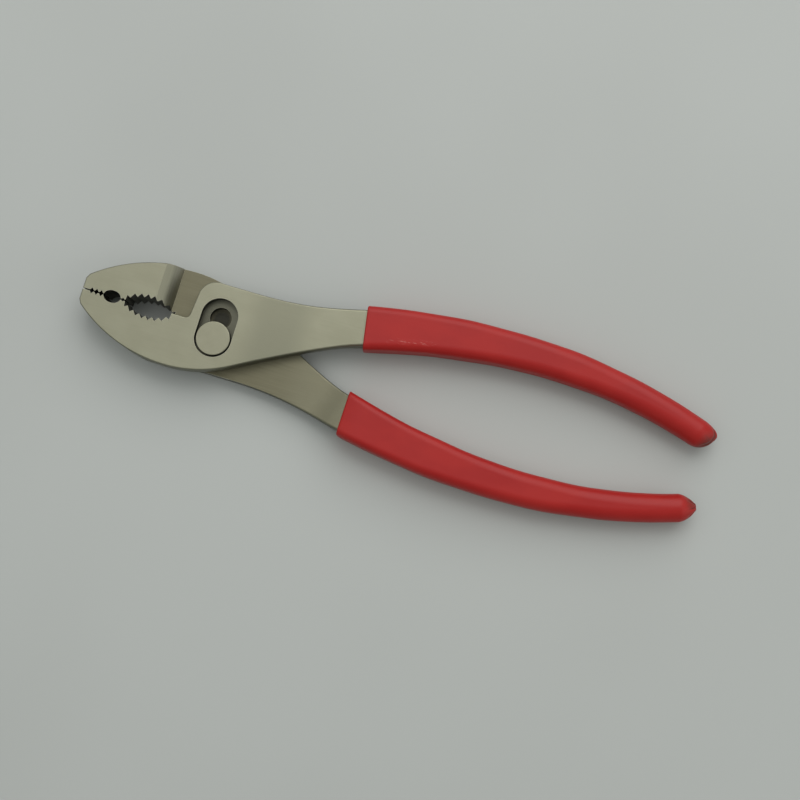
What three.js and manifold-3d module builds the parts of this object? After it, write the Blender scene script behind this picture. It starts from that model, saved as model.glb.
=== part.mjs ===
// Slip-joint pliers: two half-lapped levers with toothed jaws, a pivot bolt that slips between
// two seats, and a dipped vinyl sleeve on each handle.
// Millimetres, +Z up. The tool lies on its back with X running from the nose (-X) to the handle
// ends (+X). The origin is on the pivot's axis, in the plane of the back face.

import * as THREE from 'three';
import { mergeVertices } from 'three/addons/utils/BufferGeometryUtils.js';
import Module from 'manifold-3d';

const wasm = await Module();
wasm.setup();

// Head. Reaches are distances from the pivot along X, widths are from the tool's centre line.
const HEAD_THICKNESS = 11;
const LAP_GAP = 0.25;
const JAW_GAP = 0.45;
const EDGE_ROUND = 0.4;
const NOSE_HALF_WIDTH = 4.25;
const NOSE_CORNER_RADIUS = 0.8;
const CHEEK_REACH = 12.25;
const CHEEK_HALF_WIDTH = 15.6;
const CHEEK_REAR_RADIUS = 40;
const SHOULDER_FOOT_REACH = 16.05;
const SHOULDER_RUN = 4.5;
const SHOULDER_FOOT_ANGLE = 15;
const SHOULDER_CREST_ANGLE = 50;
const PLATE_EDGE_REACH = 8.45;
const PLATE_EDGE_LEAN = 0.55;
const PLATE_HALF_WIDTH = 13.75;
const PLATE_CORNER_RADIUS = 5.5;
const THROAT_FILLET_RADIUS = 1.4;
const THROAT_RISE = 0.4;

// Jaw openings, one after the other from the pivot to the nose: the toothed pipe grip, a neck,
// a small oval, a flat, diamond notches and the last flat at the nose.
const PIPE_GRIP_REACH = 21.95;
const PIPE_GRIP_HALF_HEIGHT = 3.95;
const PIPE_ARC_RADIUS = 13.6;
const PIPE_TOOTH_COUNT = 8;
const PIPE_TOOTH_PITCH = 2.07;
const PIPE_TOOTH_DEPTH = 1.15;
const PIPE_END_LENGTH = 0.25;
const PARTING_OVERLAP = 2.5;
const JAW_NECK_LENGTH = 1.45;
const NECK_NOTCH_HALF_HEIGHT = 0.6;
const OVAL_HALF_LENGTH = 2.75;
const OVAL_HALF_HEIGHT = 1.95;
const JAW_FLAT_LENGTH = 0.8;
const NOTCH_COUNT = 3;
const NOTCH_PITCH = 1.5;
const NOTCH_HALF_WIDTH = 0.74;
const NOTCH_HALF_HEIGHT = 1;
const NOSE_FLAT_LENGTH = 3;

// Pivot bolt, its nut and the seats that take them.
const SLIP_TRAVEL = 6.9;
const BOLT_HEAD_DIAMETER = 10.6;
const BOLT_HEAD_THICKNESS = 2.7;
const BOLT_SHANK_DIAMETER = 6.5;
const BOLT_FLAT_DEPTH = 0.85;
const BOLT_TAIL_SHOULDER = 0.75;
const BOLT_EDGE_BREAK = 0.3;
const NUT_ACROSS_FLATS = 8;
const NUT_THICKNESS = 2.5;
const NUT_EDGE_BREAK = 0.3;
const HEAD_CLEARANCE = 0.45;
const HEAD_OVERRUN = 0.1;
const SHANK_CLEARANCE = 0.15;
const FLATS_CLEARANCE = 0.2;
const THREAD_CLEARANCE = 0.1;
const NUT_CLEARANCE = 0.4;
const SEAT_GAP = 0.2;

// Handles. Each tang leaves the plate, swells into the handle at the cuff and is bowed from there
// to its end along two arcs that meet where the handles are widest apart.
const TANG_START_REACH = 7.75;
const CUFF_REACH = 43.75;
const HANDLE_FRONT_LENGTH = 55;
const HANDLE_REAR_LENGTH = 50;
const HANDLE_CUFF_OFFSET = 13.4;
const HANDLE_FRONT_RISE = 7;
const HANDLE_REAR_DROP = 7.6;
const TANG_CUFF_WIDTH = 11.3;
const TANG_END_WIDTH = 6.1;
const TANG_TAPER_POWER = 1.3;
const TANG_THICKNESS = 8.2;
const TANG_END_THICKNESS = 6.8;
const TANG_EDGE_ROUND = 0.7;
const TANG_LAP_EDGE_BREAK = 0.1;
const TANG_FALL_LENGTH = 22;
const TANG_SET_LEAD = 10.2;
const TANG_SET_LENGTH = 18.2;
const TANG_OUTER_PLATE_PULL = 15.6;
const TANG_OUTER_CUFF_PULL = 8.4;
const TANG_INNER_PLATE_PULL = 18;
const TANG_INNER_CUFF_PULL = 7.2;

// Sleeves. Each is dipped to its own depth and angle, and its tip is drawn in and snipped its own way.
const SLEEVE_WALL = 1.1;
const SLEEVE_END_WALL = 2.4;
const SLEEVE_CLEARANCE = 0.2;
const SLEEVE_CORNER_RADIUS = 2.6;
const SLEEVE_CUFF_ROUND = 0.5;
const SLEEVE_TIP_LENGTH = 5.4;
const SLEEVE_NUB_LENGTH = 0.8;
const UPPER_CUFF = { setback: 0, lean: 4 };
const LOWER_CUFF = { setback: 1.3, lean: 10.5 };
const CUFF_LEAN_FADE = 25;
const UPPER_TIP = { power: 2.6, nubDiameter: 5.2, shift: 1 };
const LOWER_TIP = { power: 1.5, nubDiameter: 2.6, shift: 0 };

// Facets.
const ROUND_SIDES = 48;
const JAW_BACK_STEPS = 16;
const CHEEK_STEPS = 10;
const SHOULDER_STEPS = 8;
const PLATE_CORNER_STEPS = 8;
const THROAT_FILLET_STEPS = 4;
const OVAL_STEPS = 24;
const EDGE_STEPS = 3;
const SLEEVE_CORNER_STEPS = 4;
const TANG_BLEND_RINGS = 12;
const HANDLE_RINGS = 14;
const TIP_RINGS = 6;

// Worked out from the sizes above.
const HALF_THICKNESS = HEAD_THICKNESS / 2;
const HALF_TRAVEL = SLIP_TRAVEL / 2;
const LAP_FACE = LAP_GAP / 2;
const CUT_MARGIN = 2;
const PIPE_GRIP_HALF_LENGTH = ((PIPE_TOOTH_COUNT - 1) / 2) * PIPE_TOOTH_PITCH + PIPE_END_LENGTH;
const NECK_REACH = PIPE_GRIP_REACH + PIPE_GRIP_HALF_LENGTH + JAW_NECK_LENGTH / 2;
const OVAL_REACH = NECK_REACH + JAW_NECK_LENGTH / 2 + OVAL_HALF_LENGTH;
const NOTCH_FIRST_REACH = OVAL_REACH + OVAL_HALF_LENGTH + JAW_FLAT_LENGTH;
const NOSE_REACH = NOTCH_FIRST_REACH + (NOTCH_COUNT - 1) * NOTCH_PITCH + NOSE_FLAT_LENGTH;
const BOLT_SEAT_DEPTH = BOLT_HEAD_THICKNESS + SEAT_GAP;
const BOLT_ACROSS_FLATS = BOLT_SHANK_DIAMETER - 2 * BOLT_FLAT_DEPTH;
const BOLT_TAIL_DIAMETER = BOLT_SHANK_DIAMETER - 2 * BOLT_TAIL_SHOULDER;
const NUT_SEAT_DEPTH = NUT_THICKNESS + 2 * SEAT_GAP;
const NUT_CORNER_RADIUS = NUT_ACROSS_FLATS / Math.sqrt(3);
const HANDLE_BOW_REACH = CUFF_REACH + HANDLE_FRONT_LENGTH;
const HANDLE_BOW_OFFSET = HANDLE_CUFF_OFFSET + HANDLE_FRONT_RISE;
const TANG_END_REACH = HANDLE_BOW_REACH + HANDLE_REAR_LENGTH;

// Booleans

function solidOf(geometry) {
  const bare = geometry.clone();
  bare.deleteAttribute('normal');
  bare.deleteAttribute('uv');
  const merged = mergeVertices(bare);
  const vertProperties = new Float32Array(merged.attributes.position.array);
  const triVerts = new Uint32Array(merged.index.array);
  return new wasm.Manifold(new wasm.Mesh({ numProp: 3, vertProperties, triVerts }));
}

function geometryOf(solid) {
  const mesh = solid.getMesh();
  const geometry = new THREE.BufferGeometry();
  geometry.setAttribute('position', new THREE.BufferAttribute(mesh.vertProperties, 3));
  geometry.setIndex(new THREE.BufferAttribute(mesh.triVerts, 1));
  geometry.computeVertexNormals();
  return geometry;
}

// Small shape helpers

function arcPoints(centreX, centreY, radius, startAngle, endAngle, steps) {
  const clockwise = endAngle < startAngle;
  const arc = new THREE.ArcCurve(centreX, centreY, radius, startAngle, endAngle, clockwise);
  return arc.getPoints(steps);
}

function point(x, y) {
  return new THREE.Vector2(x, y);
}

function mix(from, to, share) {
  return from + (to - from) * share;
}

function easeBetween(x, start, end) {
  return THREE.MathUtils.smoothstep(x, start, end);
}

// A straight-sided prism of a plan outline, from one height to another.
function prism(points, low, high) {
  const geometry = new THREE.ExtrudeGeometry(new THREE.Shape(points), {
    depth: high - low,
    bevelEnabled: false,
  });
  return geometry.translate(0, 0, low);
}

// The same, with its top and bottom edges rounded inside the outline.
function roundedPrism(points, low, high, round, steps) {
  const geometry = new THREE.ExtrudeGeometry(new THREE.Shape(points), {
    depth: high - low - 2 * round,
    bevelThickness: round,
    bevelSize: round,
    bevelOffset: -round,
    bevelSegments: steps,
  });
  return geometry.translate(0, 0, low + round);
}

function cylinder(x, y, radius, low, high) {
  const geometry = new THREE.CylinderGeometry(radius, radius, high - low, ROUND_SIDES);
  geometry.rotateX(Math.PI / 2);
  return geometry.translate(x, y, (low + high) / 2);
}

function box(low, high) {
  const size = high.clone().sub(low);
  const middle = low.clone().add(high).multiplyScalar(0.5);
  return new THREE.BoxGeometry(size.x, size.y, size.z).translate(middle.x, middle.y, middle.z);
}

// A closed skin over rings of equal point counts, with a flat cap on each end.
function loft(rings) {
  const sides = rings[0].length;
  const positions = rings.flat().flatMap((corner) => [corner.x, corner.y, corner.z]);
  const faces = [];
  for (let ring = 0; ring + 1 < rings.length; ring += 1) {
    for (let side = 0; side < sides; side += 1) {
      const here = ring * sides + side;
      const beside = ring * sides + ((side + 1) % sides);
      faces.push(here, beside, here + sides);
      faces.push(beside, beside + sides, here + sides);
    }
  }
  const last = (rings.length - 1) * sides;
  for (let side = 1; side + 1 < sides; side += 1) {
    faces.push(0, side + 1, side);
    faces.push(last, last + side, last + side + 1);
  }
  const geometry = new THREE.BufferGeometry();
  geometry.setAttribute('position', new THREE.Float32BufferAttribute(positions, 3));
  geometry.setIndex(faces);
  return geometry;
}

// One upright section of a handle: a rectangle with rounded corners between an inner and an
// outer edge point of the plan, and between two heights. The skew widens the inner corners where
// the section crosses its inner edge at a slant.
function sectionRing({ inner, outer, low, high, lowRound, highRound, innerSkew = 1, steps }) {
  const width = inner.distanceTo(outer);
  const across = outer.clone().sub(inner).divideScalar(width);
  const corners = [
    { along: width - lowRound, height: low + lowRound, round: lowRound, skew: 1 },
    { along: width - highRound, height: high - highRound, round: highRound, skew: 1 },
    { along: highRound * innerSkew, height: high - highRound, round: highRound, skew: innerSkew },
    { along: lowRound * innerSkew, height: low + lowRound, round: lowRound, skew: innerSkew },
  ];
  const quarter = Math.PI / 2;
  return corners.flatMap(({ along, height, round, skew }, index) => {
    const start = (index - 1) * quarter;
    const corner = new THREE.EllipseCurve(along, height, round * skew, round, start, start + quarter);
    return corner.getPoints(steps).map((spot) => {
      const plan = inner.clone().addScaledVector(across, spot.x);
      return new THREE.Vector3(plan.x, plan.y, spot.y);
    });
  });
}

// Lever head: jaw, shoulder and half-lap plate.
// Built on the tool's centre line and mid plane, with the jaw on -Y and the plate on top.

// Slope of the cheek's arc where the tang takes over from the head.
function cheekSlope() {
  return Math.asin((TANG_START_REACH + CHEEK_REACH) / CHEEK_REAR_RADIUS);
}

function cheekEndPoint() {
  const rise = CHEEK_REAR_RADIUS * (1 - Math.cos(cheekSlope()));
  return point(TANG_START_REACH, rise - CHEEK_HALF_WIDTH);
}

function headOutline() {
  const noseRise = CHEEK_HALF_WIDTH - NOSE_HALF_WIDTH;
  const noseRun = NOSE_REACH - CHEEK_REACH;
  const frontRadius = (noseRun ** 2 + noseRise ** 2) / (2 * noseRise);
  const frontCentre = frontRadius - CHEEK_HALF_WIDTH;
  const noseAngle = Math.asin((noseRun - NOSE_CORNER_RADIUS) / frontRadius);
  const down = -Math.PI / 2;
  const jawBack = arcPoints(-CHEEK_REACH, frontCentre, frontRadius, down - noseAngle, down, JAW_BACK_STEPS);

  const slope = cheekSlope();
  const rearCentre = CHEEK_REAR_RADIUS - CHEEK_HALF_WIDTH;
  const cheek = arcPoints(-CHEEK_REACH, rearCentre, CHEEK_REAR_RADIUS, down, down + slope, CHEEK_STEPS);
  const pastTang = TANG_START_REACH + CUT_MARGIN;
  const cheekEnd = cheek[cheek.length - 1];

  const cornerX = PLATE_CORNER_RADIUS - PLATE_EDGE_REACH;
  const cornerY = PLATE_HALF_WIDTH - PLATE_CORNER_RADIUS;
  const corner = arcPoints(cornerX, cornerY, PLATE_CORNER_RADIUS, -down, -2 * down, PLATE_CORNER_STEPS);
  const filletRadius = THROAT_FILLET_RADIUS;
  const filletX = -PLATE_EDGE_REACH - PLATE_EDGE_LEAN - filletRadius;
  const filletY = THROAT_RISE + filletRadius;
  const fillet = arcPoints(filletX, filletY, filletRadius, 0, down, THROAT_FILLET_STEPS);

  return [
    point(-NOSE_REACH, CUT_MARGIN),
    point(-NOSE_REACH, NOSE_CORNER_RADIUS - NOSE_HALF_WIDTH),
    ...jawBack,
    ...cheek.slice(1),
    point(pastTang, cheekEnd.y + CUT_MARGIN * Math.tan(slope)),
    point(pastTang, PLATE_HALF_WIDTH),
    ...corner,
    ...fillet,
    point(partingEnd(), THROAT_RISE),
    point(partingEnd(), CUT_MARGIN),
  ];
}

// The straight parting faces run from the nose into the pipe grip, and end short of its rear.
function partingEnd() {
  return PIPE_GRIP_HALF_LENGTH - PARTING_OVERLAP - PIPE_GRIP_REACH;
}

// Everything above the parting line, in front of the throat.
function partingCut() {
  const low = new THREE.Vector3(-NOSE_REACH - CUT_MARGIN, -JAW_GAP / 2, -HEAD_THICKNESS);
  const high = new THREE.Vector3(partingEnd(), 2 * CUT_MARGIN, HEAD_THICKNESS);
  return box(low, high);
}

// The shoulder behind the jaw, from its foot on the lap face to its crest on the outer face: part
// of an ellipse that is steep at the foot.
function shoulderCurve() {
  const foot = THREE.MathUtils.degToRad(SHOULDER_FOOT_ANGLE);
  const crest = THREE.MathUtils.degToRad(SHOULDER_CREST_ANGLE);
  return Array.from({ length: SHOULDER_STEPS + 1 }, (unused, step) => {
    const angle = mix(foot, crest, step / SHOULDER_STEPS);
    const run = (Math.cos(foot) - Math.cos(angle)) / (Math.cos(foot) - Math.cos(crest));
    const drop = (Math.sin(angle) - Math.sin(foot)) / (Math.sin(crest) - Math.sin(foot));
    const x = -SHOULDER_FOOT_REACH - SHOULDER_RUN * run;
    return point(x, mix(LAP_FACE, -HALF_THICKNESS, drop));
  });
}

// Everything under the plate, up to the shoulder.
function lapCut() {
  const below = HALF_THICKNESS + CUT_MARGIN;
  const beyond = TANG_START_REACH + 2 * CUT_MARGIN;
  const profile = [
    point(-SHOULDER_FOOT_REACH - SHOULDER_RUN, -below),
    point(beyond, -below),
    point(beyond, LAP_FACE),
    ...shoulderCurve(),
  ];
  const reach = CHEEK_HALF_WIDTH + PLATE_HALF_WIDTH;
  return prism(profile, -reach, reach).rotateX(Math.PI / 2);
}

// Everything past the line where the tang takes over from the head.
function tangCut() {
  const low = new THREE.Vector3(TANG_START_REACH, -2 * CHEEK_HALF_WIDTH, -HEAD_THICKNESS);
  const high = new THREE.Vector3(TANG_START_REACH + 2 * CUT_MARGIN, 2 * PLATE_HALF_WIDTH, HEAD_THICKNESS);
  return box(low, high);
}

// Jaw openings

// A zigzag along an arc over the parting line, and its mirror image under it. The roots lie on the
// arc, and the tooth tips lie midway between them.
function pipeGripCut() {
  const zigzag = [];
  const firstRoot = (-(PIPE_TOOTH_COUNT - 1) / 2) * PIPE_TOOTH_PITCH;
  for (let step = 0; step < 2 * PIPE_TOOTH_COUNT - 1; step += 1) {
    const run = firstRoot + (step * PIPE_TOOTH_PITCH) / 2;
    const sag = PIPE_ARC_RADIUS - Math.sqrt(PIPE_ARC_RADIUS ** 2 - run ** 2);
    const inset = step % 2 === 0 ? 0 : PIPE_TOOTH_DEPTH;
    zigzag.push(point(run - PIPE_GRIP_REACH, PIPE_GRIP_HALF_HEIGHT - sag - inset));
  }
  const front = point(-PIPE_GRIP_REACH - PIPE_GRIP_HALF_LENGTH, 0);
  const rear = point(PIPE_GRIP_HALF_LENGTH - PIPE_GRIP_REACH, 0);
  const mirrored = zigzag.map((corner) => point(corner.x, -corner.y)).reverse();
  return prism([front, ...zigzag, rear, ...mirrored], -HEAD_THICKNESS, HEAD_THICKNESS);
}

function smallOvalCut() {
  const oval = new THREE.EllipseCurve(-OVAL_REACH, 0, OVAL_HALF_LENGTH, OVAL_HALF_HEIGHT);
  return prism(oval.getPoints(OVAL_STEPS).slice(1), -HEAD_THICKNESS, HEAD_THICKNESS);
}

function notchCut(reach, halfHeight) {
  const points = [
    point(NOTCH_HALF_WIDTH - reach, 0),
    point(-reach, halfHeight),
    point(-NOTCH_HALF_WIDTH - reach, 0),
    point(-reach, -halfHeight),
  ];
  return prism(points, -HEAD_THICKNESS, HEAD_THICKNESS);
}

function jawOpenings() {
  const cuts = [pipeGripCut(), notchCut(NECK_REACH, NECK_NOTCH_HALF_HEIGHT), smallOvalCut()];
  for (let notch = 0; notch < NOTCH_COUNT; notch += 1) {
    cuts.push(notchCut(NOTCH_FIRST_REACH + notch * NOTCH_PITCH, NOTCH_HALF_HEIGHT));
  }
  return cuts;
}

// Handle path and tang

function arcRadius(length, rise) {
  return (length ** 2 + rise ** 2) / (2 * rise);
}

// Where the handle's middle is, and which way is outwards, at a reach from the pivot.
function handlePath(reach) {
  const run = reach - HANDLE_BOW_REACH;
  const frontRadius = arcRadius(HANDLE_FRONT_LENGTH, HANDLE_FRONT_RISE);
  const rearRadius = arcRadius(HANDLE_REAR_LENGTH, HANDLE_REAR_DROP);
  const radius = run < 0 ? frontRadius : rearRadius;
  const rise = Math.sqrt(radius ** 2 - run ** 2);
  const outward = point(run, rise).divideScalar(radius);
  const middle = point(reach, HANDLE_BOW_OFFSET - radius + rise);
  return { middle, outward };
}

// How far along the handle a reach is: 0 at the cuff and 1 at the tang's end.
function handleShare(reach) {
  const share = (reach - CUFF_REACH) / (TANG_END_REACH - CUFF_REACH);
  return THREE.MathUtils.clamp(share, 0, 1);
}

function tangWidth(reach) {
  const left = 1 - handleShare(reach);
  return mix(TANG_END_WIDTH, TANG_CUFF_WIDTH, left ** TANG_TAPER_POWER);
}

// Half thickness of the handle part of the tang, thinner towards its end.
function tangHalfThickness(reach) {
  return mix(TANG_THICKNESS, TANG_END_THICKNESS, handleShare(reach)) / 2;
}

function tangTop(reach) {
  const fallen = easeBetween(reach, TANG_START_REACH, TANG_START_REACH + TANG_FALL_LENGTH);
  return mix(HALF_THICKNESS, tangHalfThickness(reach), fallen);
}

// The lap side stays clear of the other lever until the two handles have spread apart.
function tangBottom(reach) {
  const start = CUFF_REACH - TANG_SET_LEAD;
  const settled = easeBetween(reach, start, start + TANG_SET_LENGTH);
  return mix(LAP_FACE, -tangHalfThickness(reach), settled);
}

// Plan edges of the tang from the plate to the cuff, each pulled along both of its end directions.
function tangEdges() {
  const { middle, outward } = handlePath(CUFF_REACH);
  const forward = point(outward.y, -outward.x);
  const half = tangWidth(CUFF_REACH) / 2;
  const cuffOuter = middle.clone().addScaledVector(outward, half);
  const cuffInner = middle.clone().addScaledVector(outward, -half);
  const plateOuter = point(TANG_START_REACH, PLATE_HALF_WIDTH);
  const plateInner = cheekEndPoint();
  const slope = cheekSlope();
  const cheekForward = point(Math.cos(slope), Math.sin(slope));
  const outerEdge = new THREE.CubicBezierCurve(
    plateOuter,
    plateOuter.clone().add(point(TANG_OUTER_PLATE_PULL, 0)),
    cuffOuter.clone().addScaledVector(forward, -TANG_OUTER_CUFF_PULL),
    cuffOuter,
  );
  const innerEdge = new THREE.CubicBezierCurve(
    plateInner,
    plateInner.clone().addScaledVector(cheekForward, TANG_INNER_PLATE_PULL),
    cuffInner.clone().addScaledVector(forward, -TANG_INNER_CUFF_PULL),
    cuffInner,
  );
  return { outerEdge, innerEdge };
}

// Section of the tang between two plan edge points, all sides grown by an allowance.
function tangSection({ inner, outer, reach, grow, innerSkew = 1 }) {
  const across = outer.clone().sub(inner).normalize();
  const rounding = easeBetween(reach, TANG_START_REACH, CUFF_REACH);
  return sectionRing({
    inner: inner.clone().addScaledVector(across, -grow),
    outer: outer.clone().addScaledVector(across, grow),
    low: tangBottom(reach) - grow,
    high: tangTop(reach) + grow,
    lowRound: mix(TANG_LAP_EDGE_BREAK, TANG_EDGE_ROUND, rounding) + grow,
    highRound: mix(EDGE_ROUND, TANG_EDGE_ROUND, rounding) + grow,
    innerSkew,
    steps: EDGE_STEPS,
  });
}

function handleReaches(start, end, count) {
  return Array.from({ length: count }, (unused, index) => mix(start, end, index / (count - 1)));
}

// The tang as rings, from the plate to its end inside the sleeve.
function tangRings(grow) {
  const { outerEdge, innerEdge } = tangEdges();
  const rings = [];
  for (let index = 0; index < TANG_BLEND_RINGS; index += 1) {
    const share = index / TANG_BLEND_RINGS;
    const inner = innerEdge.getPoint(share);
    const outer = outerEdge.getPoint(share);
    const across = outer.clone().sub(inner).normalize();
    const innerSkew = 1 / Math.abs(across.cross(innerEdge.getTangent(share)));
    rings.push(tangSection({ inner, outer, reach: (inner.x + outer.x) / 2, grow, innerSkew }));
  }
  for (const reach of handleReaches(CUFF_REACH, TANG_END_REACH, HANDLE_RINGS)) {
    const { middle, outward } = handlePath(reach);
    const half = tangWidth(reach) / 2;
    const inner = middle.clone().addScaledVector(outward, -half);
    const outer = middle.clone().addScaledVector(outward, half);
    rings.push(tangSection({ inner, outer, reach, grow }));
  }
  return rings;
}

// Levers

function leverBlank() {
  let lever = solidOf(roundedPrism(headOutline(), -HALF_THICKNESS, HALF_THICKNESS, EDGE_ROUND, EDGE_STEPS));
  for (const cut of [partingCut(), lapCut(), tangCut(), ...jawOpenings()]) {
    lever = lever.subtract(solidOf(cut));
  }
  return lever.add(solidOf(loft(tangRings(0))));
}

// Front lever: an oblong seat for the bolt head, over two round holes joined by a narrower neck.
function frontLever() {
  const seatRadius = BOLT_HEAD_DIAMETER / 2 + HEAD_CLEARANCE;
  const seatHalf = HALF_TRAVEL + HEAD_OVERRUN;
  const seatOutline = [
    ...arcPoints(0, seatHalf, seatRadius, 0, Math.PI, ROUND_SIDES / 2),
    ...arcPoints(0, -seatHalf, seatRadius, Math.PI, 2 * Math.PI, ROUND_SIDES / 2),
  ];
  const seat = prism(seatOutline, HALF_THICKNESS - BOLT_SEAT_DEPTH, HEAD_THICKNESS);
  const holeRadius = BOLT_SHANK_DIAMETER / 2 + SHANK_CLEARANCE;
  const neckHalf = BOLT_ACROSS_FLATS / 2 + FLATS_CLEARANCE;
  const neck = box(
    new THREE.Vector3(-neckHalf, -HALF_TRAVEL, -HEAD_THICKNESS),
    new THREE.Vector3(neckHalf, HALF_TRAVEL, HEAD_THICKNESS),
  );
  const holes = [-HALF_TRAVEL, HALF_TRAVEL].map((y) => {
    return cylinder(0, y, holeRadius, -HEAD_THICKNESS, HEAD_THICKNESS);
  });
  let lever = leverBlank();
  for (const cut of [seat, neck, ...holes]) {
    lever = lever.subtract(solidOf(cut));
  }
  return geometryOf(lever);
}

// Rear lever: one round hole for the bolt, and a round seat for the nut in its outer face.
function rearLever() {
  const holeRadius = BOLT_SHANK_DIAMETER / 2 + SHANK_CLEARANCE;
  const hole = cylinder(0, HALF_TRAVEL, holeRadius, -HEAD_THICKNESS, HEAD_THICKNESS);
  const seatRadius = NUT_CORNER_RADIUS + NUT_CLEARANCE;
  const seat = cylinder(0, HALF_TRAVEL, seatRadius, HALF_THICKNESS - NUT_SEAT_DEPTH, HEAD_THICKNESS);
  let lever = leverBlank();
  for (const cut of [hole, seat]) {
    lever = lever.subtract(solidOf(cut));
  }
  return geometryOf(lever);
}

// Pivot bolt and nut, standing on the back face with the bolt head on top.

function pivotBolt() {
  const tailRadius = BOLT_TAIL_DIAMETER / 2;
  const shankRadius = BOLT_SHANK_DIAMETER / 2;
  const headRadius = BOLT_HEAD_DIAMETER / 2;
  const tailTop = NUT_THICKNESS + SEAT_GAP;
  const headUnder = HEAD_THICKNESS - BOLT_HEAD_THICKNESS;
  const profile = [
    point(0, 0),
    point(tailRadius - BOLT_EDGE_BREAK, 0),
    point(tailRadius, BOLT_EDGE_BREAK),
    point(tailRadius, tailTop),
    point(shankRadius, tailTop),
    point(shankRadius, headUnder),
    point(headRadius, headUnder),
    point(headRadius, HEAD_THICKNESS - BOLT_EDGE_BREAK),
    point(headRadius - BOLT_EDGE_BREAK, HEAD_THICKNESS),
    point(0, HEAD_THICKNESS),
  ];
  let bolt = solidOf(new THREE.LatheGeometry(profile, ROUND_SIDES).rotateX(Math.PI / 2));
  for (const side of [-1, 1]) {
    const near = side * BOLT_ACROSS_FLATS / 2;
    const far = side * BOLT_SHANK_DIAMETER;
    const flat = box(
      new THREE.Vector3(Math.min(near, far), -BOLT_SHANK_DIAMETER, HALF_THICKNESS),
      new THREE.Vector3(Math.max(near, far), BOLT_SHANK_DIAMETER, headUnder),
    );
    bolt = bolt.subtract(solidOf(flat));
  }
  return geometryOf(bolt);
}

function pivotNut() {
  const hexagon = Array.from({ length: 6 }, (unused, corner) => {
    const angle = (corner * Math.PI) / 3;
    return point(NUT_CORNER_RADIUS * Math.cos(angle), NUT_CORNER_RADIUS * Math.sin(angle));
  });
  const blank = solidOf(roundedPrism(hexagon, 0, NUT_THICKNESS, NUT_EDGE_BREAK, 1));
  const bore = cylinder(0, 0, BOLT_TAIL_DIAMETER / 2 + THREAD_CLEARANCE, -NUT_THICKNESS, 2 * NUT_THICKNESS);
  return geometryOf(blank.subtract(solidOf(bore)));
}

// Sleeves

// A sleeve section: the tang's section grown by the clearance and the wall, less an inset, then
// drawn in by a share and shifted outwards. Its outer side leans towards the handle's end by an angle.
function sleeveSection({ reach, share = 1, inset = 0, lean = 0, shift = 0 }) {
  const { middle, outward } = handlePath(reach);
  middle.addScaledVector(outward, shift);
  const grow = SLEEVE_CLEARANCE + SLEEVE_WALL - inset;
  const half = (tangWidth(reach) / 2 + grow) * share;
  const across = outward.clone().rotateAround(point(0, 0), -lean);
  const centre = (tangTop(reach) + tangBottom(reach)) / 2;
  const halfHeight = ((tangTop(reach) - tangBottom(reach)) / 2 + grow) * share;
  const round = Math.min(SLEEVE_CORNER_RADIUS * share, halfHeight, half);
  return sectionRing({
    inner: middle.clone().addScaledVector(across, -half / Math.cos(lean)),
    outer: middle.clone().addScaledVector(across, half / Math.cos(lean)),
    low: centre - halfHeight,
    high: centre + halfHeight,
    lowRound: round,
    highRound: round,
    steps: SLEEVE_CORNER_STEPS,
  });
}

// The sleeve's skin: a rounded cuff, the long tapering body, a bullet tip and a snipped drip.
function sleeveRings(cuff, tip) {
  const cuffReach = CUFF_REACH + cuff.setback;
  const tipStart = TANG_END_REACH + SLEEVE_CLEARANCE + SLEEVE_END_WALL;
  const lean = THREE.MathUtils.degToRad(cuff.lean);
  const rings = [sleeveSection({ reach: cuffReach, inset: SLEEVE_CUFF_ROUND, lean })];
  for (const reach of handleReaches(cuffReach + SLEEVE_CUFF_ROUND, tipStart, HANDLE_RINGS)) {
    const upright = easeBetween(reach, cuffReach, cuffReach + CUFF_LEAN_FADE);
    rings.push(sleeveSection({ reach, lean: lean * (1 - upright) }));
  }
  const nubShare = tip.nubDiameter / (tangWidth(tipStart) + 2 * (SLEEVE_CLEARANCE + SLEEVE_WALL));
  const nubRun = (1 - nubShare ** tip.power) ** (1 / tip.power);
  for (let step = 1; step <= TIP_RINGS; step += 1) {
    const run = nubRun * Math.sin((Math.PI / 2) * (step / TIP_RINGS));
    const share = (1 - run ** tip.power) ** (1 / tip.power);
    rings.push(sleeveSection({ reach: tipStart + run * SLEEVE_TIP_LENGTH, share, shift: tip.shift * run }));
  }
  const nubEnd = tipStart + nubRun * SLEEVE_TIP_LENGTH + SLEEVE_NUB_LENGTH;
  rings.push(sleeveSection({ reach: nubEnd, share: nubShare, shift: tip.shift }));
  return rings;
}

// The space inside a sleeve: the tang with a clearance all round, and past its end.
function sleeveCavityRings() {
  const rings = tangRings(SLEEVE_CLEARANCE);
  const { outward } = handlePath(TANG_END_REACH);
  const past = new THREE.Vector3(outward.y, -outward.x, 0).multiplyScalar(SLEEVE_CLEARANCE);
  const end = rings[rings.length - 1].map((corner) => corner.clone().add(past));
  return [...rings, end];
}

function sleeve(cuff, tip) {
  const skin = solidOf(loft(sleeveRings(cuff, tip)));
  return geometryOf(skin.subtract(solidOf(loft(sleeveCavityRings()))));
}

// Finishes

const GROUND_TITANIUM = { color: 0x9a9a86, roughness: 0.42, metalness: 1 };
const TURNED_TITANIUM = { color: 0x96958a, roughness: 0.38, metalness: 1 };
const RED_VINYL = { color: 0xa8332f, roughness: 0.45, metalness: 0 };

function named(name, geometry, finish) {
  const mesh = new THREE.Mesh(geometry, new THREE.MeshStandardMaterial(finish));
  mesh.name = name;
  return mesh;
}

// Assembly: both halves share one frame on the centre line, the rear one turned over.

function halfOfTool(lever, grip, turnedOver) {
  const half = new THREE.Group();
  half.add(lever, grip);
  half.rotation.x = turnedOver ? Math.PI : 0;
  half.position.set(0, HALF_TRAVEL, HALF_THICKNESS);
  return half;
}

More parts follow.
